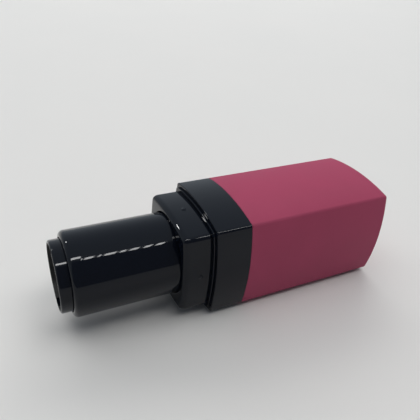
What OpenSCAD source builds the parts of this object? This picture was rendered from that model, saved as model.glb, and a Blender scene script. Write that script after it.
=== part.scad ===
// Square lipstick case without its cap: a matte shell and a gloss collar carry a square neck,
// and a round barrel turns in the neck to screw a cup up and down a slotted tube.
// Every piece is drawn standing on its closed end, with the heights counted from that end,
// and lay_down() then rests the case on one bowed side with its mouth towards -X.

/* [Square body] */
// Width across the middle of two opposite bowed sides
body_w = 22.8; // [22.8:0.1:26]
// Radius of the bow of each side
bow_r = 43; // [35:1:80]
// Radius of the four long corners
corner_r = 0.8; // [0.6:0.1:1.6]
// Length of the matte shell
shell_len = 35.2; // [34:0.2:42]
// Length of the gloss collar band
band_len = 7.6; // [5:0.2:9]
// Wall of the matte shell
shell_wall = 1.5; // [1.2:0.1:1.6]
// Rounding of the closed end's edge
end_round = 0.9; // [0.3:0.1:1]
// Diameter of the blank label recess in the closed end
label_d = 15; // [8:0.5:17]
// Depth of the label recess
label_depth = 0.3; // [0.2:0.1:0.5]

/* [Neck] */
// How far the neck's sides stand in from the body's sides
neck_inset = 1.5; // [1.3:0.1:1.5]
// Length of the square neck above its flange
neck_len = 5.95; // [5:0.05:8]
// Radius of the neck's long corners
neck_corner_r = 1.2; // [0.8:0.1:1.6]
// Rounding of the neck's end edge
neck_round = 1.0; // [0.4:0.1:1]
// Thickness of the flange that seats on the band
flange_len = 0.45; // [0.4:0.05:1]
// How far the flange stands out from the neck
flange_out = 0.75; // [0.2:0.05:1]
// Height of the cap's snap beads above the neck's sides
bead_out = 0.22; // [0.1:0.02:0.4]

/* [Barrel and ring] */
// Outside diameter of the turning barrel
barrel_d = 17.2; // [17.1:0.1:17.3]
// Length of barrel that shows above the neck
barrel_show = 20.7; // [20:0.1:26]
// Rounding of the barrel's shoulder
shoulder_r = 1.0; // [0.5:0.1:1.1]
// Length of the slotted tube's ring that shows above the barrel
ring_show = 2.2; // [1.5:0.1:3]

/* [Mechanism] */
// Bore of the cup that holds the lipstick
cup_bore_d = 12.1; // [11.9:0.05:12.1]
// Clear depth of the cup
cup_depth = 12; // [12:0.5:13]
// How far the cup's rim lies inside the ring when it is wound down
cup_drop = 23.1; // [23:0.1:24]
// Travel of the cup
travel = 27; // [20:0.5:27]
// Rise of the cup for one full turn of the barrel
lead = 20; // [16:0.5:24]
// Angle of the first lug from the upper side, seen from the mouth
lug_angle = 180; // [0:1:359]
// Diameter of the cup's two lugs
lug_d = 1.8; // [1.4:0.1:2]

/* [Weight] */
// Diameter of the steel slug
slug_d = 15.6; // [12:0.2:16]
// Thickness of the steel slug
slug_len = 6.4; // [3:0.2:7]

/* [Hidden] */
$fn = 96;

PINK = [0.56, 0.27, 0.36];
GLOSS_BLACK = [0.07, 0.07, 0.08];
MOULD_BLACK = [0.12, 0.12, 0.13];
STEEL = [0.62, 0.63, 0.64];
SILICONE = [0.75, 0.74, 0.71];
NYLON = [0.30, 0.30, 0.31];

EPS = 0.01;                 // overlap of two joined pieces of one solid
OVER = 1;                   // how far a cut runs past the face that it opens
FACE_FACETS = 13;           // flats along one bowed side
CORNER_FACETS = 6;          // flats round one long corner
ROUND_STEPS = 4;            // slices in a rounded end edge
CORNER_MIN = 0.2;           // least corner radius of a square slice
LUG_PAIR = [0, 180];        // the two sides that carry a lug, a slot and a groove

// half widths of the square pieces
body_half = body_w/2;
cavity_half = body_half - shell_wall;
neck_half = body_half - neck_inset;
flange_half = neck_half + flange_out;
skirt_wall = 0.5;           // of the band round the neck's skirt
skirt_half = cavity_half - skirt_wall;

// heights above the closed end
floor_h = 1.6;
band_h0 = shell_len;
band_h1 = band_h0 + band_len;
neck_h0 = band_h1 + flange_len;
neck_h1 = neck_h0 + neck_len;
barrel_h1 = neck_h1 + barrel_show;
total_len = barrel_h1 + ring_show;
spigot_len = 4;             // of the band inside the shell
core_h1 = shell_len - spigot_len;

// clearances
running = 0.10;             // between the barrel and what it turns in
slide_gap = 0.07;           // between the cup and the slotted tube
end_play = 0.10;            // of the barrel's foot, each way
lug_gap = 0.15;             // between a lug and the walls of its groove
brake_gap = 0.02;           // between the brake ring and the slotted tube

// radii of the round pieces, from the cup outwards
cup_bore_r = cup_bore_d/2;
cup_wall = 0.5;
cup_r = cup_bore_r + cup_wall;
grip_in = 0.3;              // how much the lower bore narrows to grip the lipstick
grip_r = cup_bore_r - grip_in;
tube_bore_r = cup_r + slide_gap;
tube_r = 7.2;
sleeve_bore_r = tube_r + running;
sleeve_r = 8.1;
barrel_r = barrel_d/2;
barrel_hole_r = barrel_r + running;
groove_floor = 0.25;        // wall left outside the helical grooves
groove_r = sleeve_r - groove_floor;
lug_tip_r = groove_r - lug_gap;
lug_root_r = cup_bore_r + cup_wall/2;

// the barrel's foot, caught between the core and the neck's skirt
foot_len = 0.8;
foot_out = 0.45;            // how far the foot stands out from the barrel
foot_h1 = core_h1 - end_play;
foot_h0 = foot_h1 - foot_len;
foot_r = barrel_r + foot_out;
pocket_h = foot_h0 - end_play;
pocket_r = foot_r + running;
lip_len = 0.7;              // the barrel's inward lip over the sleeve
lip_gap = 0.25;             // between the lip and the ring
lip_r = tube_r + lip_gap;
sleeve_h1 = barrel_h1 - lip_len;

// the slotted tube
tube_foot = 6.2;            // length of the tube held by the core
tube_h0 = pocket_h - tube_foot;
barb_h = 3;                 // the foot's barb above the tube's lower end
barb_len = 1;
barb_out = 0.3;
barb_r = tube_r + barb_out;
spline_root_r = tube_r - 0.2;
spline_count = 6;
spline_w = 0.8;
spline_len = 2.6;
rim_r = 0.4;                // rounding of the ring's rim
slot_w = lug_d + 0.2;
slot_end = 0.6;             // from the slots' upper ends to the barrel's end
slot_h1 = barrel_h1 - slot_end;
leadin_w = 2.5;             // grooves that let the lugs in at assembly
leadin_depth = 0.28;

// the cup
rim_h = total_len - cup_drop;
cup_floor_h = rim_h - cup_depth;
cup_floor = 0.8;
grip_len = 4.5;
grip_groove_w = 1.6;
grip_groove_depth = 0.2;
grip_groove_count = 6;
lug_up = 2;                 // from the cup's floor to the middle of its lugs
lug_h = cup_floor_h + lug_up;
chamfer = 0.25;

// the helical grooves
HELIX_STEP = 6;             // degrees of turn from one cross-section to the next
turn_max = 360*travel/lead;
slope = atan(lead/(2*PI*groove_r));
groove_half = (lug_d/2 + lug_gap)/cos(slope);
groove_over = 10;           // degrees that a groove runs past the lug at each end
groove_open = 0.3;          // how far its cut starts inside the sleeve's bore
groove_in_r = sleeve_bore_r - groove_open;

// the brake ring in the sleeve's lower end
brake_up = 0.6;             // from the top of the barrel's foot to the ring
brake_h = foot_h1 + brake_up;
brake_len = 1.2;
brake_out = 0.5;            // how deep the ring's seat is in the sleeve
brake_r = tube_r + brake_out;

// the core
ledge_in = 0.2;             // how far the ledge under the tube reaches inwards
ledge_r = tube_bore_r - ledge_in;
web_len = 1.5;              // wall between the slug and the cavity above it
relief_d = 2.2;             // lightening holes in the core's corners
relief_edge = 2.3;          // from the cavity's sides to a hole's middle
relief_at = cavity_half - relief_edge;
relief_end = 4;             // solid length above a hole

// the snap beads of the neck
bead_r = 0.8;
bead_up = 2.25;             // from the flange to the beads
bead_h = neck_h0 + bead_up;

// The case's place in use: on its side, closed end at +X, mouth at -X
module lay_down() {
    translate([total_len/2, 0, body_half])
        rotate([0, -90, 0])
            children();
}

function turned(angle, p) = [
    p[0]*cos(angle) - p[1]*sin(angle),
    p[0]*sin(angle) + p[1]*cos(angle)
];

// Points along one bowed side, whose flats touch the bow's true circle
function side_arc(half, half_angle) =
    let (step = 2*half_angle/FACE_FACETS)
    let (reach = bow_r/cos(step/2))
    [for (i = [0:FACE_FACETS])
        let (a = i*step - half_angle)
        [reach*cos(a) - bow_r + half, reach*sin(a)]];

// Points round one corner, between the two sides that it joins
function corner_arc(centre, r, half_angle) =
    let (step = (90 - 2*half_angle)/CORNER_FACETS)
    [for (i = [1:CORNER_FACETS - 1])
        let (a = half_angle + i*step)
        [centre + r*cos(a), centre + r*sin(a)]];

// Outline of a square with four bowed sides and rounded corners
function bowed_square(half, r) =
    let (k = bow_r - half)
    let (centre = (sqrt(2*pow(bow_r - r, 2) - k*k) - k)/2)
    let (half_angle = atan2(centre, centre + k))
    [for (q = [0:3])
        each [for (p = concat(side_arc(half, half_angle), corner_arc(centre, r, half_angle)))
            turned(90*q, p)]];

// Straight bowed-square prism between two heights
module prism(half, r, h0, h1) {
    translate([0, 0, h0])
        linear_extrude(h1 - h0)
            polygon(bowed_square(half, r));
}

// End of a bowed-square prism with a rounded edge; up is 1 at the top and -1 at the bottom
module rounded_end(half, r, edge_r, h, up) {
    hull() {
        for (i = [0:ROUND_STEPS])
            let (a = 90*i/ROUND_STEPS)
            let (inset = edge_r*(1 - cos(a)))
            let (outer_h = h - up*edge_r*(1 - sin(a)))
            let (inner_h = outer_h - up*EPS)
            prism(half - inset, max(r - inset, CORNER_MIN), min(outer_h, inner_h), max(outer_h, inner_h));
    }
}

module bore(r, h0, h1) {
    translate([0, 0, h0])
        cylinder(r = r, h = h1 - h0);
}

// Matte outer shell with its blank label recess
module base_shell() {
    color(PINK)
        lay_down()
            difference() {
                union() {
                    rounded_end(body_half, corner_r, end_round, 0, -1);
                    prism(body_half, corner_r, end_round, shell_len);
                }
                prism(cavity_half, corner_r, floor_h, shell_len + OVER);
                bore(label_d/2, -OVER, label_depth);
            }
}

// Steel slug that gives the case its weight
module weight_slug() {
    color(STEEL)
        lay_down()
            bore(slug_d/2, floor_h, floor_h + slug_len);
}

// Splines that keep the slotted tube from turning in the core
module foot_splines() {
    for (i = [0:spline_count - 1])
        rotate([0, 0, i*360/spline_count])
            translate([spline_root_r, -spline_w/2, tube_h0])
                cube([barb_r - spline_root_r, spline_w, spline_len]);
}

// Inner core that fills the shell and grips the mechanism's foot
module base_core() {
    color(MOULD_BLACK)
        lay_down()
            difference() {
                prism(cavity_half, corner_r, floor_h, core_h1);
                bore(slug_d/2, floor_h - OVER, floor_h + slug_len);
                bore(ledge_r, floor_h + slug_len + web_len, tube_h0 + EPS);
                bore(tube_r, tube_h0, pocket_h + EPS);
                bore(barb_r, tube_h0 + barb_h, tube_h0 + barb_h + barb_len);
                foot_splines();
                bore(pocket_r, pocket_h, core_h1 + OVER);
                for (sx = [-1, 1], sy = [-1, 1])
                    translate([sx*relief_at, sy*relief_at, floor_h - OVER])
                        cylinder(d = relief_d, h = core_h1 - relief_end - floor_h + OVER);
            }
}

// Gloss band with a spigot that plugs into the shell
module collar_band() {
    color(GLOSS_BLACK)
        lay_down()
            difference() {
                union() {
                    prism(body_half, corner_r, band_h0, band_h1);
                    prism(cavity_half, corner_r, core_h1, band_h0 + EPS);
                }
                prism(skirt_half, corner_r, core_h1 - OVER, band_h1 + OVER);
            }
}

// Small domes on the neck's sides that hold the cap
module snap_beads() {
    for (q = [0:3])
        rotate([0, 0, 90*q])
            translate([neck_half + bead_out - bead_r, 0, bead_h])
                sphere(r = bead_r);
}

// Square neck with its seating flange, and the skirt that plugs into the band
module neck_collar() {
    color(GLOSS_BLACK)
        lay_down()
            difference() {
                union() {
                    prism(skirt_half, corner_r, core_h1, band_h1 + EPS);
                    prism(flange_half, neck_corner_r, band_h1, neck_h0);
                    prism(neck_half, neck_corner_r, neck_h0 - EPS, neck_h1 - neck_round);
                    rounded_end(neck_half, neck_corner_r, neck_round, neck_h1, 1);
                    snap_beads();
                }
                bore(barrel_hole_r, core_h1 - OVER, neck_h1 + OVER);
            }
}

// Quarter-round points from the side of a turned piece to its end
function edge_arc(r, h, edge_r) =
    [for (i = [0:ROUND_STEPS])
        let (a = 90*i/ROUND_STEPS)
        [r - edge_r*(1 - cos(a)), h - edge_r*(1 - sin(a))]];

// Fixed inner tube: its ring shows at the mouth and its slots steer the cup's lugs
module slotted_tube() {
    color(GLOSS_BLACK)
        lay_down()
            difference() {
                union() {
                    rotate_extrude()
                        polygon(concat(
                            [[tube_bore_r, tube_h0], [tube_r, tube_h0]],
                            edge_arc(tube_r, total_len, rim_r),
                            [[tube_bore_r + chamfer/2, total_len], [tube_bore_r, total_len - chamfer]]));
                    difference() {
                        bore(barb_r, tube_h0 + barb_h, tube_h0 + barb_h + barb_len);
                        bore(spline_root_r, tube_h0, pocket_h);
                    }
                    foot_splines();
                }
                for (side = LUG_PAIR)
                    rotate([0, 0, lug_angle + side]) {
                        translate([0, -slot_w/2, lug_h - lug_d])
                            cube([barb_r + OVER, slot_w, slot_h1 - lug_h + lug_d]);
                        translate([0, -leadin_w/2, slot_h1 - OVER])
                            cube([tube_bore_r + leadin_depth, leadin_w, total_len - slot_h1 + 2*OVER]);
                    }
            }
}

// Round outer barrel, with a lip over the sleeve and a foot under the neck
module barrel_shell() {
    color(GLOSS_BLACK)
        lay_down()
            rotate_extrude()
                polygon(concat(
                    [[sleeve_r, foot_h0], [foot_r, foot_h0], [foot_r, foot_h1], [barrel_r, foot_h1]],
                    edge_arc(barrel_r, barrel_h1, shoulder_r),
                    [[lip_r, barrel_h1], [lip_r, sleeve_h1], [sleeve_r, sleeve_h1]]));
}

// Corners of a groove's cross-section at one angle: inner low, outer low, outer high, inner high
function groove_ring(angle) =
    let (h = lug_h - lead*angle/360)
    [for (c = [[groove_in_r, -1], [groove_r, -1], [groove_r, 1], [groove_in_r, 1]])
        [c[0]*cos(angle), c[0]*sin(angle), h + c[1]*groove_half]];

// Helical cut that carries one lug from its lowest place to its highest
module groove_cut() {
    first = groove_over;
    last = -turn_max - groove_over;
    steps = ceil((first - last)/HELIX_STEP);
    rings = [for (i = [0:steps]) groove_ring(first + (last - first)*i/steps)];
    walls = [for (i = [0:steps - 1], j = [0:3])
        each [[4*i + j, 4*(i + 1) + (j + 1)%4, 4*i + (j + 1)%4],
            [4*i + j, 4*(i + 1) + j, 4*(i + 1) + (j + 1)%4]]];
    end = 4*steps;
    caps = [[0, 1, 2], [0, 2, 3], [end + 2, end + 1, end], [end + 3, end + 2, end]];
    polyhedron(points = [for (ring = rings) each ring], faces = concat(walls, caps));
}

// Sleeve inside the barrel, with two helical grooves for the lugs
module spiral_sleeve() {
    color(NYLON)
        lay_down()
            difference() {
                bore(sleeve_r, foot_h0, sleeve_h1);
                bore(sleeve_bore_r, foot_h0 - OVER, sleeve_h1 + OVER);
                bore(brake_r, brake_h, brake_h + brake_len);
                for (side = LUG_PAIR)
                    rotate([0, 0, lug_angle + side])
                        groove_cut();
            }
}

// Silicone ring that gives the twist its drag
module brake_ring() {
    color(SILICONE)
        lay_down()
            difference() {
                bore(brake_r, brake_h, brake_h + brake_len);
                bore(tube_r + brake_gap, brake_h - OVER, brake_h + brake_len + OVER);
            }
}

// Cup that carries the lipstick, with two lugs and a gripping lower bore
module cup() {
    color(NYLON)
        lay_down() {
            difference() {
                rotate_extrude()
                    polygon([
                        [0, cup_floor_h - cup_floor], [cup_r - chamfer, cup_floor_h - cup_floor],
                        [cup_r, cup_floor_h - cup_floor + chamfer], [cup_r, rim_h - chamfer],
                        [cup_r - chamfer/2, rim_h], [cup_bore_r + chamfer/2, rim_h],
                        [cup_bore_r, rim_h - chamfer], [cup_bore_r, cup_floor_h + grip_len],
                        [grip_r, cup_floor_h + grip_len - grip_in], [grip_r, cup_floor_h], [0, cup_floor_h]
                    ]);
                for (i = [0:grip_groove_count - 1])
                    rotate([0, 0, lug_angle + (i + 0.5)*360/grip_groove_count])
                        translate([grip_r - OVER, -grip_groove_w/2, cup_floor_h])
                            cube([OVER + grip_groove_depth, grip_groove_w, grip_len]);
            }
            for (side = LUG_PAIR)
                rotate([0, 0, lug_angle + side])
                    translate([lug_root_r, 0, lug_h])
                        rotate([0, 90, 0])
                            cylinder(d = lug_d, h = lug_tip_r - lug_root_r);
        }
}

base_shell();
weight_slug();
base_core();
collar_band();
neck_collar();
slotted_tube();
barrel_shell();
spiral_sleeve();
brake_ring();
cup();
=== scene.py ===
"""The looks of the lipstick case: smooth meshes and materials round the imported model, lights and camera."""

import math

import bmesh
import bpy
from mathutils import Matrix, Vector


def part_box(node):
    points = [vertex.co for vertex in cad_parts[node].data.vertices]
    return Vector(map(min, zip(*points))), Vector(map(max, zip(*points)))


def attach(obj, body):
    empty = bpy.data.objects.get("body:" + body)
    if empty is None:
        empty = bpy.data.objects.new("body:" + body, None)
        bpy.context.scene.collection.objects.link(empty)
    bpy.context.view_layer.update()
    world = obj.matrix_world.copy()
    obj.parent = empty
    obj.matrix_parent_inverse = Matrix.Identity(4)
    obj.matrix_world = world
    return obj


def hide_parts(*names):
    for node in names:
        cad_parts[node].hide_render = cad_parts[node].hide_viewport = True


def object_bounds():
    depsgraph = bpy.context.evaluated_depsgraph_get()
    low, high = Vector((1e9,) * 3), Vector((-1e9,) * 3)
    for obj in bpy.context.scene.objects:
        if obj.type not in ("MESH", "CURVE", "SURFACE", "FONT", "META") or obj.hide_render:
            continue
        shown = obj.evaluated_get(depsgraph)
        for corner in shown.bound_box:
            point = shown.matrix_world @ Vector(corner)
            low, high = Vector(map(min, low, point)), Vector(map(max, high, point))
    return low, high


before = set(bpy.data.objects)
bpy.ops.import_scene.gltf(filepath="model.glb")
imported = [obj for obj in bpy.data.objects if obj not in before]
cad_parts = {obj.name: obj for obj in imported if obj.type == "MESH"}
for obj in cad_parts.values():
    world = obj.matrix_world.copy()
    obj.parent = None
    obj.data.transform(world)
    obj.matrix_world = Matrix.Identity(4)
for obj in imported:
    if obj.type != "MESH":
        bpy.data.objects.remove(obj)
CAD_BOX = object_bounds()

MM = 0.001

# ---- the case's own axis, and heights counted from its closed end along it
CASE_LOW, CASE_HIGH = CAD_BOX
AXIS_Z = (CASE_LOW.z + CASE_HIGH.z) / 2
CLOSED_X = CASE_HIGH.x


def span(node):
    """Lowest and highest place of a CAD node, as heights above the closed end."""
    low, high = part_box(node)
    return CLOSED_X - high.x, CLOSED_X - low.x


def reach(node):
    """Half of a CAD node's width across Y."""
    low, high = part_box(node)
    return (high.y - low.y) / 2


SHELL_END = span("base_shell")[1]
CORE_LOW, CORE_END = span("base_core")
BAND_END = span("collar_band")[1]
NECK_END = span("neck_collar")[1]
BARREL_LOW, BARREL_END = span("barrel_shell")
TUBE_LOW, TUBE_END = span("slotted_tube")
CUP_LOW, CUP_END = span("cup")
SLUG_LOW, SLUG_END = span("weight_slug")
BRAKE_LOW, BRAKE_END = span("brake_ring")

BODY_HALF = reach("base_shell")
CAVITY_HALF = reach("base_core")
FLANGE_HALF = reach("neck_collar")
SLEEVE_R = reach("spiral_sleeve")
SLUG_R = reach("weight_slug")
BRAKE_R = reach("brake_ring")
CUP_R = reach("cup")

# ---- sizes that the nodes' boxes don't give
BOW_R = 43 * MM
BODY_CORNER = 0.8 * MM
NECK_CORNER = 1.2 * MM
SPIGOT_WALL = 0.5 * MM
FLANGE_OUT = 0.75 * MM
FLANGE_LEN = 0.45 * MM
BEAD_AT = 2.25 * MM
BARREL_FOOT_OUT = 0.45 * MM
BARREL_FOOT_LEN = 0.8 * MM
BARREL_SHOULDER = 1.0 * MM
BARREL_LIP_LEN = 0.7 * MM
BARREL_GAP = 0.25 * MM
RUNNING_GAP = 0.1 * MM
TUBE_BARB_OUT = 0.3 * MM
TUBE_BARB = (3 * MM, 4 * MM)
SLOT_END_GAP = 0.6 * MM
BRAKE_GAP = 0.02 * MM
CUP_WALL = 0.5 * MM
CUP_GAP = 0.07 * MM
CUP_FLOOR = 0.8 * MM
GRIP_LEN = 4.5 * MM
GRIP_IN = 0.3 * MM
LUG_R = 0.9 * MM
LUG_TIP = 7.7 * MM
LUG_UP = 2 * MM
LUG_ANGLE = math.pi

NECK_HALF = FLANGE_HALF - FLANGE_OUT
SKIRT_HALF = CAVITY_HALF - SPIGOT_WALL
BARREL_R = reach("barrel_shell") - BARREL_FOOT_OUT
TUBE_R = reach("slotted_tube") - TUBE_BARB_OUT
TUBE_BORE = CUP_R + CUP_GAP
CUP_BORE = CUP_R - CUP_WALL

# ---- how far a cutter runs past the face that it opens, and the smallest bevel and corner
OVER = 1 * MM
SMALL_BEVEL = 0.05 * MM
LEAST_CORNER = 0.15 * MM

# ---- how finely the round shapes are cut
ROUND_STEPS = 8
CORNER_STEPS = 10
TURN_STEPS = 168
# places along one bowed side, from its middle (0) to its corner (1); closer where a snap bead stands
BEAD_STOPS = [i / 70 for i in range(6)]
SIDE_STOPS = BEAD_STOPS + [BEAD_STOPS[-1] + (1 - BEAD_STOPS[-1]) * i / 12 for i in range(1, 13)]


# ---------------------------------------------------------------- outlines and profiles

def at(height, up, side):
    """Point at a height above the closed end, and up and sideways from the case's axis."""
    return Vector((CLOSED_X - height, side, AXIS_Z + up))


def bowed_square(half, corner):
    """(up, side) points round a square with bowed sides and round corners."""
    back = BOW_R - half
    centre = (math.sqrt(2 * (BOW_R - corner) ** 2 - back * back) - back) / 2
    most = math.atan2(centre, centre + back)
    places = [-s for s in reversed(SIDE_STOPS[1:])] + SIDE_STOPS
    side = [(BOW_R * math.cos(s * most) - back, BOW_R * math.sin(s * most)) for s in places]
    for i in range(1, CORNER_STEPS):
        a = most + (math.pi / 2 - 2 * most) * i / CORNER_STEPS
        side.append((centre + corner * math.cos(a), centre + corner * math.sin(a)))
    points = []
    for quarter in range(4):
        c, s = math.cos(quarter * math.pi / 2), math.sin(quarter * math.pi / 2)
        points += [(u * c - v * s, u * s + v * c) for u, v in side]
    return points


CIRCLE = [(u / math.hypot(u, v), v / math.hypot(u, v)) for u, v in bowed_square(NECK_HALF, NECK_CORNER)]


def square_ring(height, half, corner):
    return [at(height, u, v) for u, v in bowed_square(half, max(corner, LEAST_CORNER))]


def circle_ring(height, radius):
    """A circle with the same number of points as a bowed square, so that the two can be joined."""
    return [at(height, radius * u, radius * v) for u, v in CIRCLE]


def turned_ring(height, radius):
    turn = 2 * math.pi / TURN_STEPS
    return [at(height, radius * math.cos(i * turn), radius * math.sin(i * turn)) for i in range(TURN_STEPS)]


def edge(height, out, size, end, outward=1, side_first=True, stretch=1):
    """Quarter-round (height, out) points for a corner of a profile.
    end is +1 where the piece stops towards the mouth, outward is -1 for the edge of a bore,
    and stretch makes the rounding longer along the axis than across it."""
    points = []
    for i in range(ROUND_STEPS + 1):
        a = math.pi / 2 * i / ROUND_STEPS
        along, across = size * stretch * (1 - math.sin(a)), size * (1 - math.cos(a))
        points.append((height - end * along, out - outward * across))
    return points if side_first else points[::-1]


def square_edge(height, half, corner, size, end, side_first=True, stretch=1):
    """Rings for the rounded end edge of a bowed square piece."""
    profile = edge(height, half, size, end, 1, side_first, stretch)
    return [square_ring(h, r, corner - (half - r)) for h, r in profile]


def circle_edge(height, radius, size, end, outward=1, side_first=True):
    return [circle_ring(h, r) for h, r in edge(height, radius, size, end, outward, side_first)]


# ---------------------------------------------------------------- meshes

def skin(name, rings, closed):
    """Mesh through rings of equally many points.
    closed joins the last ring to the first; otherwise both ends get a cap."""
    mesh = bmesh.new()
    rows = [[mesh.verts.new(p) for p in ring] for ring in rings]
    pairs = list(zip(rows, rows[1:]))
    if closed:
        pairs.append((rows[-1], rows[0]))
    for a, b in pairs:
        for i in range(len(a)):
            j = (i + 1) % len(a)
            mesh.faces.new((a[i], a[j], b[j], b[i]))
    if not closed:
        for row in (rows[0], rows[-1]):
            hub = mesh.verts.new(sum((v.co for v in row), Vector()) / len(row))
            for i in range(len(row)):
                mesh.faces.new((row[i], row[(i + 1) % len(row)], hub))
    return finished(name, mesh)


def finished(name, mesh):
    """Object from a bmesh, with its normals outwards and smooth faces."""
    bmesh.ops.recalc_face_normals(mesh, faces=mesh.faces)
    data = bpy.data.meshes.new(name)
    mesh.to_mesh(data)
    mesh.free()
    data.shade_smooth()
    piece = bpy.data.objects.new(name, data)
    bpy.context.scene.collection.objects.link(piece)
    return piece


def apply_modifier(piece, modifier):
    """Bakes one modifier into the piece's mesh."""
    graph = bpy.context.evaluated_depsgraph_get()
    data = bpy.data.meshes.new_from_object(piece.evaluated_get(graph))
    piece.modifiers.remove(modifier)
    old = piece.data
    piece.data = data
    bpy.data.meshes.remove(old)


def combine(piece, cutters, operation):
    """Cuts the cutters from the piece, or joins them to it."""
    for cutter in cutters:
        modifier = piece.modifiers.new(operation, "BOOLEAN")
        modifier.operation = operation
        modifier.solver = "EXACT"
        modifier.object = cutter
        apply_modifier(piece, modifier)
        bpy.data.objects.remove(cutter)


def soften(piece, width, angle=35, segments=2):
    """Rounds the sharp edges of a piece by a small width."""
    modifier = piece.modifiers.new("soften", "BEVEL")
    modifier.width = width
    modifier.segments = segments
    modifier.limit_method = "ANGLE"
    modifier.angle_limit = math.radians(angle)
    modifier.use_clamp_overlap = True
    apply_modifier(piece, modifier)


def even_shading(piece, sharp_angle=35):
    """Keeps the hard corners of a piece sharp, and lets its flat faces keep their own normals."""
    piece.data.set_sharp_from_angle(angle=math.radians(sharp_angle))
    modifier = piece.modifiers.new("even shading", "WEIGHTED_NORMAL")
    modifier.keep_sharp = True
    modifier.weight = 50


def block(name, low, high):
    """Six-sided cutter between two heights, two ups and two sides, given as low and high triples."""
    mesh = bmesh.new()
    ends = (low, high)
    corners = [mesh.verts.new(at(ends[i][0], ends[j][1], ends[k][2]))
               for k in (0, 1) for j in (0, 1) for i in (0, 1)]
    for face in ((0, 1, 3, 2), (4, 6, 7, 5), (0, 4, 5, 1), (2, 3, 7, 6), (0, 2, 6, 4), (1, 5, 7, 3)):
        mesh.faces.new([corners[i] for i in face])
    return finished(name, mesh)


def turned_about_axis(piece, angle):
    """Turns a piece about the case's axis, from up towards +Y."""
    centre = Matrix.Translation((0, 0, AXIS_Z))
    piece.data.transform(centre @ Matrix.Rotation(-angle, 4, "X") @ centre.inverted())
    return piece


# ---------------------------------------------------------------- pieces

def build_shell():
    """Matte outer shell: recess, closed end, bowed sides, mouth edge, cavity."""
    end_round, mouth_round = 0.9 * MM, 0.12 * MM
    recess_r, recess_depth, recess_round = 7.5 * MM, 0.3 * MM, 0.1 * MM
    rings = [circle_ring(recess_depth, recess_r * 0.5)]
    rings += [circle_ring(recess_depth, recess_r - recess_round)]
    for a in [math.pi / 2 * i / 3 for i in range(1, 4)]:
        height = recess_depth - recess_round * (1 - math.cos(a))
        rings.append(circle_ring(height, recess_r - recess_round * (1 - math.sin(a))))
    rings += circle_edge(0, recess_r, recess_round, -1, -1)
    rings += square_edge(0, BODY_HALF, BODY_CORNER, end_round, -1, side_first=False)
    steps = 16
    straight = SHELL_END - mouth_round - end_round
    rings += [square_ring(end_round + straight * i / steps, BODY_HALF, BODY_CORNER)
              for i in range(1, steps)]
    rings += square_edge(SHELL_END, BODY_HALF, BODY_CORNER, mouth_round, 1)
    rings += [square_ring(h, CAVITY_HALF, BODY_CORNER) for h in (SHELL_END, CORE_LOW)]
    return skin("soft_touch_shell", rings, closed=False)


def build_band():
    """Gloss band with its spigot."""
    near_round, far_round = 0.12 * MM, 0.16 * MM
    rings = square_edge(SHELL_END, BODY_HALF, BODY_CORNER, near_round, -1, side_first=False)
    rings += square_edge(BAND_END, BODY_HALF, BODY_CORNER, far_round, 1)
    rings += [square_ring(h, SKIRT_HALF, BODY_CORNER) for h in (BAND_END, CORE_END)]
    rings += [square_ring(h, CAVITY_HALF, BODY_CORNER) for h in (CORE_END, SHELL_END)]
    return skin("gloss_band", rings, closed=True)


def raise_beads(piece):
    """Domes on the neck's sides that hold the cap."""
    dome_r, stands_out, outer_skin = 0.8 * MM, 0.18 * MM, 0.2 * MM
    spread = math.sqrt(dome_r ** 2 - (dome_r - stands_out) ** 2)
    for vertex in piece.data.vertices:
        up, side = vertex.co.z - AXIS_Z, vertex.co.y
        along = CLOSED_X - vertex.co.x - (BAND_END + FLANGE_LEN + BEAD_AT)
        for axis, across, out in (("z", side, up), ("y", up, side)):
            away = math.hypot(across, along)
            if abs(out) > NECK_HALF - outer_skin and away < spread:
                rise = math.sqrt(dome_r ** 2 - away ** 2) - (dome_r - stands_out)
                setattr(vertex.co, axis, getattr(vertex.co, axis) + math.copysign(rise, out))


def build_neck():
    """Square neck with its flange, snap beads and round hole, and the skirt inside the band."""
    flange_end = BAND_END + FLANGE_LEN
    flange_round, groove_in, groove_len = 0.06 * MM, 0.08 * MM, 0.12 * MM
    neck_round, neck_stretch, hole_round = 0.85 * MM, 1.5, 0.3 * MM
    hole = BARREL_R + RUNNING_GAP
    bead_step = 0.125 * MM
    bead_rows = [BEAD_AT + bead_step * i for i in range(-5, 6)]
    rows = [flange_end + row for row in [0.6 * MM, 1.1 * MM] + bead_rows + [3.4 * MM]]
    rings = [square_ring(h, SKIRT_HALF, BODY_CORNER) for h in (CORE_END, BAND_END)]
    rings += square_edge(BAND_END, FLANGE_HALF, NECK_CORNER, flange_round, -1, side_first=False)
    rings += square_edge(flange_end, FLANGE_HALF, NECK_CORNER, flange_round, 1)
    foot = flange_end + groove_len
    rings += [square_ring(h, NECK_HALF - groove_in, NECK_CORNER - groove_in) for h in (flange_end, foot)]
    rings += square_edge(foot, NECK_HALF, NECK_CORNER, flange_round, -1, side_first=False)
    rings += [square_ring(h, NECK_HALF, NECK_CORNER) for h in rows]
    rings += square_edge(NECK_END, NECK_HALF, NECK_CORNER, neck_round, 1, stretch=neck_stretch)
    rings += [circle_ring(h, r) for h, r in edge(NECK_END, hole, hole_round, 1, -1, side_first=False)]
    rings += [circle_ring(CORE_END, hole)]
    piece = skin("square_neck", rings, closed=True)
    raise_beads(piece)
    return piece


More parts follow.
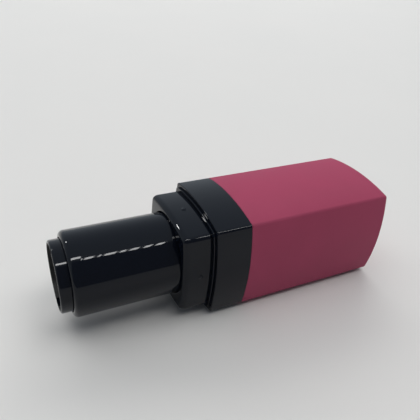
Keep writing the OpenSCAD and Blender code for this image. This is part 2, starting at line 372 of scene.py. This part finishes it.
def build_barrel():
    """Round gloss barrel, with its shoulder, lip and foot."""
    lip = TUBE_R + BARREL_GAP
    foot_end = BARREL_LOW + BARREL_FOOT_LEN
    foot_r = BARREL_R + BARREL_FOOT_OUT
    small = 0.1 * MM
    profile = [(BARREL_LOW, SLEEVE_R)]
    profile += edge(BARREL_LOW, foot_r, small, -1, 1, side_first=False)
    profile += edge(foot_end, foot_r, small, 1)
    profile += [(foot_end, BARREL_R)]
    rows = 20
    top = BARREL_END - BARREL_SHOULDER
    profile += [(foot_end + (top - foot_end) * i / rows, BARREL_R) for i in range(1, rows)]
    profile += edge(BARREL_END, BARREL_R, BARREL_SHOULDER, 1)
    profile += edge(BARREL_END, lip, small, 1, -1, side_first=False)
    profile += [(BARREL_END - BARREL_LIP_LEN, lip), (BARREL_END - BARREL_LIP_LEN, SLEEVE_R)]
    return skin("gloss_barrel", [turned_ring(h, r) for h, r in profile], closed=True)


def build_tube():
    """Slotted inner tube, with the ring that shows at the mouth, lead-in grooves and a barb."""
    rim_round, bore_round = 0.4 * MM, 0.1 * MM
    barb_low, barb_high = TUBE_LOW + TUBE_BARB[0], TUBE_LOW + TUBE_BARB[1]
    barb_r = TUBE_R + TUBE_BARB_OUT
    profile = [(TUBE_LOW, TUBE_BORE), (TUBE_LOW, TUBE_R), (barb_low, TUBE_R), (barb_low, barb_r),
               (barb_high, barb_r), (barb_high, TUBE_R)]
    profile += edge(TUBE_END, TUBE_R, rim_round, 1)
    profile += edge(TUBE_END, TUBE_BORE, bore_round, 1, -1, side_first=False)
    piece = skin("ring_tube", [turned_ring(h, r) for h, r in profile], closed=True)
    slot_half, leadin_half, leadin_depth = LUG_R + 0.1 * MM, 1.25 * MM, 0.28 * MM
    slot_low = CUP_LOW + CUP_FLOOR + LUG_UP - 2 * LUG_R
    slot_high = BARREL_END - SLOT_END_GAP
    inside, overlap = TUBE_BORE - 2 * MM, 0.5 * MM
    cutters = []
    for turn in (0, math.pi):
        slot = block("slot", (slot_low, inside, -slot_half), (slot_high, TUBE_R + OVER, slot_half))
        leadin = block("leadin", (slot_high - overlap, inside, -leadin_half),
                       (TUBE_END + OVER, TUBE_BORE + leadin_depth, leadin_half))
        cutters += [turned_about_axis(slot, LUG_ANGLE + turn), turned_about_axis(leadin, LUG_ANGLE + turn)]
    combine(piece, cutters, "DIFFERENCE")
    soften(piece, SMALL_BEVEL)
    return piece


def build_slug():
    """Turned steel slug with chamfered edges, a centre mark in each end and a shallow gauge groove."""
    chamfer, mark_r, mark_tip, mark_depth = 0.35 * MM, 0.9 * MM, 0.05 * MM, 0.7 * MM
    groove_in, groove_half = 0.2 * MM, 0.3 * MM
    middle = (SLUG_LOW + SLUG_END) / 2
    low_end = [(SLUG_LOW + mark_depth, mark_tip), (SLUG_LOW, mark_r), (SLUG_LOW, mark_r * 1.1),
               (SLUG_LOW, SLUG_R - chamfer), (SLUG_LOW + chamfer, SLUG_R)]
    high_end = [(SLUG_LOW + SLUG_END - h, r) for h, r in reversed(low_end)]
    groove = [(middle - groove_half - groove_in, SLUG_R), (middle - groove_half, SLUG_R - groove_in),
              (middle + groove_half, SLUG_R - groove_in), (middle + groove_half + groove_in, SLUG_R)]
    piece = skin("turned_slug", [turned_ring(h, r) for h, r in low_end + groove + high_end], closed=False)
    soften(piece, SMALL_BEVEL, angle=20)
    return piece


def build_brake():
    """Silicone ring with rounded edges and two shallow grooves round its outside."""
    edge_r, groove_in = 0.12 * MM, 0.08 * MM
    length = BRAKE_END - BRAKE_LOW
    bore = TUBE_R + BRAKE_GAP
    profile = edge(BRAKE_LOW, bore, edge_r, -1, -1)
    profile += edge(BRAKE_LOW, BRAKE_R, edge_r, -1, 1, side_first=False)
    for share in (1 / 3, 2 / 3):
        middle = BRAKE_LOW + length * share
        dips = [(side * groove_in, (1 - abs(side)) * groove_in) for side in (-1, 0, 1)]
        profile += [(middle + along, BRAKE_R - depth) for along, depth in dips]
    profile += edge(BRAKE_END, BRAKE_R, edge_r, 1)
    profile += edge(BRAKE_END, bore, edge_r, 1, -1, side_first=False)
    return skin("silicone_ring", [turned_ring(h, r) for h, r in profile], closed=True)


def build_cup():
    """Cup with a gripping lower bore and two lugs."""
    small, rim = 0.2 * MM, 0.12 * MM
    floor = CUP_LOW + CUP_FLOOR
    grip_end, grip_r = floor + GRIP_LEN, CUP_BORE - GRIP_IN
    profile = [(CUP_LOW, CUP_R * 0.4)]
    profile += edge(CUP_LOW, CUP_R, small, -1, 1, side_first=False)
    profile += edge(CUP_END, CUP_R, rim, 1)
    profile += edge(CUP_END, CUP_BORE, rim, 1, -1, side_first=False)
    profile += [(grip_end, CUP_BORE), (grip_end - GRIP_IN, grip_r), (floor, grip_r), (floor, grip_r * 0.5)]
    piece = skin("lipstick_cup", [turned_ring(h, r) for h, r in profile], closed=False)
    groove_half, groove_out = 0.8 * MM, grip_r + 0.2 * MM
    grooves = [turned_about_axis(block("groove", (floor, grip_r - OVER, -groove_half),
                                       (grip_end, groove_out, groove_half)),
                                 LUG_ANGLE + math.radians(30 + 60 * i)) for i in range(6)]
    combine(piece, grooves, "DIFFERENCE")
    combine(piece, [build_lug(floor + LUG_UP, LUG_ANGLE + turn) for turn in (0, math.pi)], "UNION")
    soften(piece, SMALL_BEVEL)
    return piece


def build_lug(height, angle):
    """Round lug that stands out from the cup's wall."""
    sides, edge_r = 32, 0.15 * MM
    root, inset = CUP_BORE + 0.2 * MM, edge_r * 0.3
    mesh = bmesh.new()
    rows = []
    for out, radius in ((root, LUG_R), (LUG_TIP - edge_r, LUG_R), (LUG_TIP - inset, LUG_R - inset),
                        (LUG_TIP, LUG_R - edge_r)):
        rows.append([mesh.verts.new(at(height + radius * math.cos(a), out, radius * math.sin(a)))
                     for a in [2 * math.pi * i / sides for i in range(sides)]])
    for a, b in zip(rows, rows[1:]):
        for i in range(sides):
            mesh.faces.new((a[i], a[(i + 1) % sides], b[(i + 1) % sides], b[i]))
    mesh.faces.new(rows[0])
    mesh.faces.new(rows[-1])
    return turned_about_axis(finished("lug", mesh), angle)


# ---------------------------------------------------------------- materials

GLOSS_COLOUR = (0.0030, 0.0047, 0.0096)
GLOSS_SPECULAR = 0.235


def colour_sockets(sockets):
    return [socket for socket in sockets if socket.type == "RGBA"]


def mixed_colour(nodes, links, factor, first, second):
    """Output socket of a mix of two colours, each a plain colour or a socket."""
    mix = nodes.new("ShaderNodeMix")
    mix.data_type = "RGBA"
    for socket, value in zip(colour_sockets(mix.inputs), (first, second)):
        if isinstance(value, tuple):
            socket.default_value = (*value, 1)
        else:
            links.new(value, socket)
    links.new(factor, mix.inputs["Factor"])
    return colour_sockets(mix.outputs)[0]


class Look:
    """A node material under construction; sockets that are the same all over get plain values."""

    def __init__(self, name, **values):
        self.material = bpy.data.materials.new(name)
        self.material.use_nodes = True
        self.tree = self.material.node_tree
        self.shader = self.tree.nodes["Principled BSDF"]
        self.place = self.node("ShaderNodeTexCoord").outputs["Object"]
        for socket, value in values.items():
            self.shader.inputs[socket.replace("_", " ")].default_value = value

    def node(self, kind, **settings):
        made = self.tree.nodes.new(kind)
        for key, value in settings.items():
            setattr(made, key, value)
        return made

    def link(self, source, target):
        self.tree.links.new(source, target)

    def noise(self, size, detail=2.0, roughness=0.5, stretch=(1, 1, 1)):
        """Noise whose features are about size metres across, stretched along the axes."""
        mapping = self.node("ShaderNodeMapping")
        mapping.inputs["Scale"].default_value = [1 / (size * s) for s in stretch]
        self.link(self.place, mapping.inputs["Vector"])
        noise = self.node("ShaderNodeTexNoise")
        noise.inputs["Scale"].default_value = 1.0
        noise.inputs["Detail"].default_value = detail
        noise.inputs["Roughness"].default_value = roughness
        self.link(mapping.outputs["Vector"], noise.inputs["Vector"])
        return noise.outputs["Fac"]

    def fade(self, value, low, high, to_low=0.0, to_high=1.0):
        """Maps a value from low..high to to_low..to_high, without going past either."""
        node = self.node("ShaderNodeMapRange")
        for key, number in zip(("From Min", "From Max", "To Min", "To Max"), (low, high, to_low, to_high)):
            node.inputs[key].default_value = number
        self.link(value, node.inputs["Value"])
        return node.outputs["Result"]

    def blend(self, factor, first, second):
        """Colour between first and second; each is a colour or a socket."""
        return mixed_colour(self.tree.nodes, self.tree.links, factor, first, second)

    def bumps(self, *layers):
        """Bump from (height, strength, depth in metres) layers, the first one lowest."""
        normal = None
        for height, strength, depth in layers:
            bump = self.node("ShaderNodeBump")
            bump.inputs["Strength"].default_value = strength
            bump.inputs["Distance"].default_value = depth
            self.link(height, bump.inputs["Height"])
            if normal is not None:
                self.link(normal, bump.inputs["Normal"])
            normal = bump.outputs["Normal"]
        self.link(normal, self.shader.inputs["Normal"])


def soft_touch_pink():
    look = Look("soft_touch_pink", Specular_IOR_Level=0.15, Sheen_Weight=0.03, Sheen_Roughness=0.45)
    look.shader.inputs["Sheen Tint"].default_value = (1.0, 0.75, 0.82, 1)
    cloud = look.noise(9 * MM, detail=4)
    grain = look.noise(0.12 * MM, detail=3, roughness=0.65)
    colour = look.blend(look.fade(cloud, 0.3, 0.7), (0.372, 0.059, 0.120), (0.405, 0.067, 0.134))
    speckled = look.blend(look.fade(grain, 0.3, 0.7, 0.0, 0.25), colour, (0.30, 0.045, 0.095))
    look.link(speckled, look.shader.inputs["Base Color"])
    look.link(look.fade(cloud, 0.3, 0.7, 0.56, 0.68), look.shader.inputs["Roughness"])
    look.bumps((look.noise(1.1 * MM, detail=2), 0.12, 0.02 * MM), (grain, 0.25, 0.012 * MM))
    return look.material


def gloss_black():
    look = Look("gloss_black", Specular_IOR_Level=GLOSS_SPECULAR)
    smudge = look.noise(5 * MM, detail=5, roughness=0.6)
    dust = look.noise(0.16 * MM, detail=2)
    colour = look.blend(look.fade(dust, 0.70, 0.80, 0.0, 0.5), GLOSS_COLOUR, (0.035, 0.035, 0.034))
    look.link(colour, look.shader.inputs["Base Color"])
    look.link(look.fade(smudge, 0.35, 0.75, 0.015, 0.045), look.shader.inputs["Roughness"])
    look.bumps((look.noise(3.5 * MM, detail=1), 0.06, 0.03 * MM),
               (look.noise(0.05 * MM, detail=2, stretch=(8, 1, 1)), 0.04, 0.002 * MM))
    return look.material


def ring_black():
    """Gloss outside, and as moulded, with a paler haze, on the wall of the bore."""
    look = Look("ring_black", Specular_IOR_Level=GLOSS_SPECULAR)
    flat = look.node("ShaderNodeMapping")
    flat.inputs["Location"].default_value = (0, 0, -AXIS_Z)
    flat.inputs["Scale"].default_value = (0, 1, 1)
    look.link(look.place, flat.inputs["Vector"])
    radius = look.node("ShaderNodeVectorMath", operation="LENGTH")
    look.link(flat.outputs["Vector"], radius.inputs[0])
    outside = look.fade(radius.outputs["Value"], TUBE_BORE + 0.04 * MM, TUBE_BORE + 0.12 * MM)
    haze = look.noise(1.5 * MM, detail=4, roughness=0.6)
    bore = look.blend(look.fade(haze, 0.3, 0.7), (0.030, 0.031, 0.033), (0.062, 0.062, 0.060))
    look.link(look.blend(outside, bore, GLOSS_COLOUR), look.shader.inputs["Base Color"])
    polish = look.node("ShaderNodeMix", data_type="FLOAT")
    look.link(outside, polish.inputs["Factor"])
    look.link(look.fade(haze, 0.3, 0.7, 0.30, 0.42), polish.inputs["A"])
    look.link(look.fade(haze, 0.3, 0.7, 0.02, 0.045), polish.inputs["B"])
    look.link(polish.outputs["Result"], look.shader.inputs["Roughness"])
    look.bumps((look.noise(3.5 * MM, detail=1), 0.06, 0.03 * MM))
    return look.material


def moulded_black():
    look = Look("moulded_black", Specular_IOR_Level=0.4)
    grain = look.noise(0.2 * MM, detail=3)
    colour = look.blend(grain, (0.010, 0.010, 0.011), (0.022, 0.022, 0.023))
    look.link(colour, look.shader.inputs["Base Color"])
    look.link(look.fade(grain, 0.3, 0.7, 0.32, 0.46), look.shader.inputs["Roughness"])
    look.bumps((grain, 0.2, 0.01 * MM))
    return look.material


def slug_steel():
    look = Look("slug_steel", Metallic=1.0)
    turning = look.noise(0.3 * MM, detail=3, stretch=(1, 12, 12))
    look.link(look.blend(turning, (0.50, 0.50, 0.51), (0.62, 0.62, 0.63)), look.shader.inputs["Base Color"])
    look.link(look.fade(turning, 0.3, 0.7, 0.28, 0.42), look.shader.inputs["Roughness"])
    look.bumps((turning, 0.2, 0.01 * MM))
    return look.material


def silicone():
    look = Look("silicone", Specular_IOR_Level=0.4, Subsurface_Weight=0.1)
    grain = look.noise(0.3 * MM, detail=3)
    look.link(look.blend(grain, (0.46, 0.45, 0.42), (0.55, 0.54, 0.50)), look.shader.inputs["Base Color"])
    look.link(look.fade(grain, 0.3, 0.7, 0.5, 0.62), look.shader.inputs["Roughness"])
    look.bumps((grain, 0.2, 0.01 * MM))
    return look.material


def pale_table():
    look = Look("pale_table", Specular_IOR_Level=0.3)
    cloud = look.noise(60 * MM, detail=3)
    look.link(look.blend(cloud, (0.78, 0.785, 0.775), (0.81, 0.81, 0.80)), look.shader.inputs["Base Color"])
    look.link(look.fade(cloud, 0.3, 0.7, 0.5, 0.6), look.shader.inputs["Roughness"])
    look.bumps((look.noise(0.8 * MM, detail=3), 0.1, 0.02 * MM))
    return look.material


# ---------------------------------------------------------------- assembly

def show(piece, body, slot, material, *nodes):
    """Dresses a piece, puts it on its body and lets it stand for its CAD nodes."""
    piece.data.materials.clear()
    piece.data.materials.append(material)
    even_shading(piece)
    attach(piece, body)
    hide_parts(*nodes)


def dress(node, material):
    """Gives a CAD node that stays in the picture its material."""
    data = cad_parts[node].data
    data.materials.clear()
    data.materials.append(material)


BLACK = gloss_black()
MOULDED = moulded_black()

show(build_shell(), "base", "soft_touch_pink", soft_touch_pink(), "base_shell")
show(build_band(), "base", "gloss_black", BLACK, "collar_band")
show(build_neck(), "base", "gloss_black", BLACK, "neck_collar")
show(build_tube(), "base", "gloss_black", ring_black(), "slotted_tube")
show(build_barrel(), "barrel", "gloss_black", BLACK, "barrel_shell")
show(build_cup(), "cup", "moulded_black", MOULDED, "cup")

show(build_slug(), "base", "slug_steel", slug_steel(), "weight_slug")
show(build_brake(), "barrel", "silicone", silicone(), "brake_ring")
dress("base_core", MOULDED)
dress("spiral_sleeve", MOULDED)


# ---------------------------------------------------------------- stage, light and camera

def build_table():
    """Pale table top, far larger than the view."""
    half, squares = 1.2, 40
    mesh = bmesh.new()
    bmesh.ops.create_grid(mesh, x_segments=squares, y_segments=squares, size=half)
    table = finished("table_top", mesh)
    table.location.z = CASE_LOW.z
    table.data.materials.append(pale_table())


def area_light(name, direction, distance, size, power, colour=(1, 1, 1), target=(0, 0, 0)):
    """Rectangular light that faces the target from a direction."""
    light = bpy.data.lights.new(name, "AREA")
    light.shape = "RECTANGLE"
    light.size, light.size_y = size
    light.energy = power
    light.color = colour
    lamp = bpy.data.objects.new(name, light)
    away = Vector(direction).normalized()
    lamp.location = Vector(target) + away * distance
    lamp.rotation_mode = "QUATERNION"
    lamp.rotation_quaternion = away.to_track_quat("Z", "Y")
    bpy.context.scene.collection.objects.link(lamp)
    return lamp


def build_world():
    """Room light by direction: a pale wall and ceiling behind the case, a dim room on the camera's side.
    Mirrored, the room is brighter than the light that it gives; seen directly, it is a pale backdrop."""
    front, behind = (0.085, 0.090, 0.104), (0.262, 0.290, 0.316)
    dim_to, pale_from = -0.45, -0.33
    mirrored_gain, backdrop = 1.95, (0.66, 0.68, 0.69)
    world = bpy.data.worlds.new("room")
    world.use_nodes = True
    nodes, links = world.node_tree.nodes, world.node_tree.links
    place = nodes.new("ShaderNodeTexCoord")
    split = nodes.new("ShaderNodeSeparateXYZ")
    towards = nodes.new("ShaderNodeMapRange")
    towards.interpolation_type = "SMOOTHSTEP"
    towards.inputs["From Min"].default_value, towards.inputs["From Max"].default_value = dim_to, pale_from
    links.new(place.outputs["Generated"], split.inputs["Vector"])
    links.new(split.outputs["Y"], towards.inputs["Value"])
    rays = nodes.new("ShaderNodeLightPath")
    room = mixed_colour(nodes, links, towards.outputs["Result"], front, behind)
    seen = mixed_colour(nodes, links, rays.outputs["Is Camera Ray"], room, backdrop)
    links.new(seen, nodes["Background"].inputs["Color"])
    strength = nodes.new("ShaderNodeMapRange")
    strength.inputs["To Min"].default_value, strength.inputs["To Max"].default_value = 1.0, mirrored_gain
    links.new(rays.outputs["Is Glossy Ray"], strength.inputs["Value"])
    links.new(strength.outputs["Result"], nodes["Background"].inputs["Strength"])
    bpy.context.scene.world = world


def build_camera():
    """Camera at the photograph's angle: azimuth from looking along +Y, elevation and a small roll."""
    azimuth, elevation, roll = (math.radians(a) for a in (27.88, 32.48, 4.87))
    distance, lens = 114.3 * MM, 40.31
    aim = Vector((2.8 * MM, 11.8 * MM, AXIS_Z))
    forward = Vector((math.sin(azimuth) * math.cos(elevation), math.cos(azimuth) * math.cos(elevation),
                      -math.sin(elevation)))
    level = forward.cross(Vector((0, 0, 1))).normalized()
    upright = level.cross(forward)
    right = level * math.cos(roll) + upright * math.sin(roll)
    up = right.cross(forward)
    camera = bpy.data.cameras.new("camera")
    camera.sensor_width = 36
    camera.lens = lens
    camera.clip_start, camera.clip_end = 0.005, 10
    holder = bpy.data.objects.new("camera", camera)
    facing = Matrix((right, up, -forward)).transposed().to_4x4()
    holder.matrix_world = Matrix.Translation(aim - forward * distance) @ facing
    bpy.context.scene.collection.objects.link(holder)
    bpy.context.scene.camera = holder


def build_ceiling_lamps():
    """Row of ceiling tubes, mostly short and of unequal length, which gloss edges and the barrel mirror."""
    height, width = 1.2, 0.11
    runs = [(-0.6, 0.117), (0.122, 0.127), (0.137, 0.162), (0.177, 0.184), (0.196, 0.229), (0.243, 0.259),
            (0.274, 0.300), (0.319, 0.343), (0.359, 0.383), (0.51, 0.73)]
    row_y, slope, watts_per_metre = -0.435, -0.36, 6.5
    for number, (low, high) in enumerate(runs):
        length = high - low
        lamp = area_light(f"tube_{number}", (0, 0, 1), 0, (length, width), watts_per_metre * length)
        lamp.location = ((low + high) / 2, row_y + slope * (low + high) / 2, height)
        lamp.visible_diffuse = False


def build_lights():
    """Soft boxes that light the case without being mirrored in it, and the lamps that are."""
    distance, pale = 1.3, (1.0, 0.965, 0.93)
    boxes = {
        "back_box": ((0.30, 0.74, 0.60), (1.3, 0.7), 7.2),
        "corner_box": ((-0.42, 0.66, 0.62), (0.7, 0.7), 1.25),
        "side_box": ((0.37, -0.21, 0.91), (0.8, 0.8), 3.9),
        "far_box": ((-0.37, 0.21, 0.91), (0.8, 0.8), 2.6),
        "front_box": ((0.05, -0.36, 0.93), (0.9, 0.3), 1.55),
    }
    for name, (direction, size, watts) in boxes.items():
        area_light(name, direction, distance, size, watts, pale).visible_glossy = False
    glint_from, glint_size, glint_watts = (-0.33, 0.60, 0.73), (0.09, 0.09), 2.0
    area_light("glint_lamp", glint_from, distance, glint_size, glint_watts).visible_diffuse = False
    build_ceiling_lamps()


build_table()
build_world()
build_lights()
build_camera()
bpy.context.scene.view_settings.view_transform = "Standard"
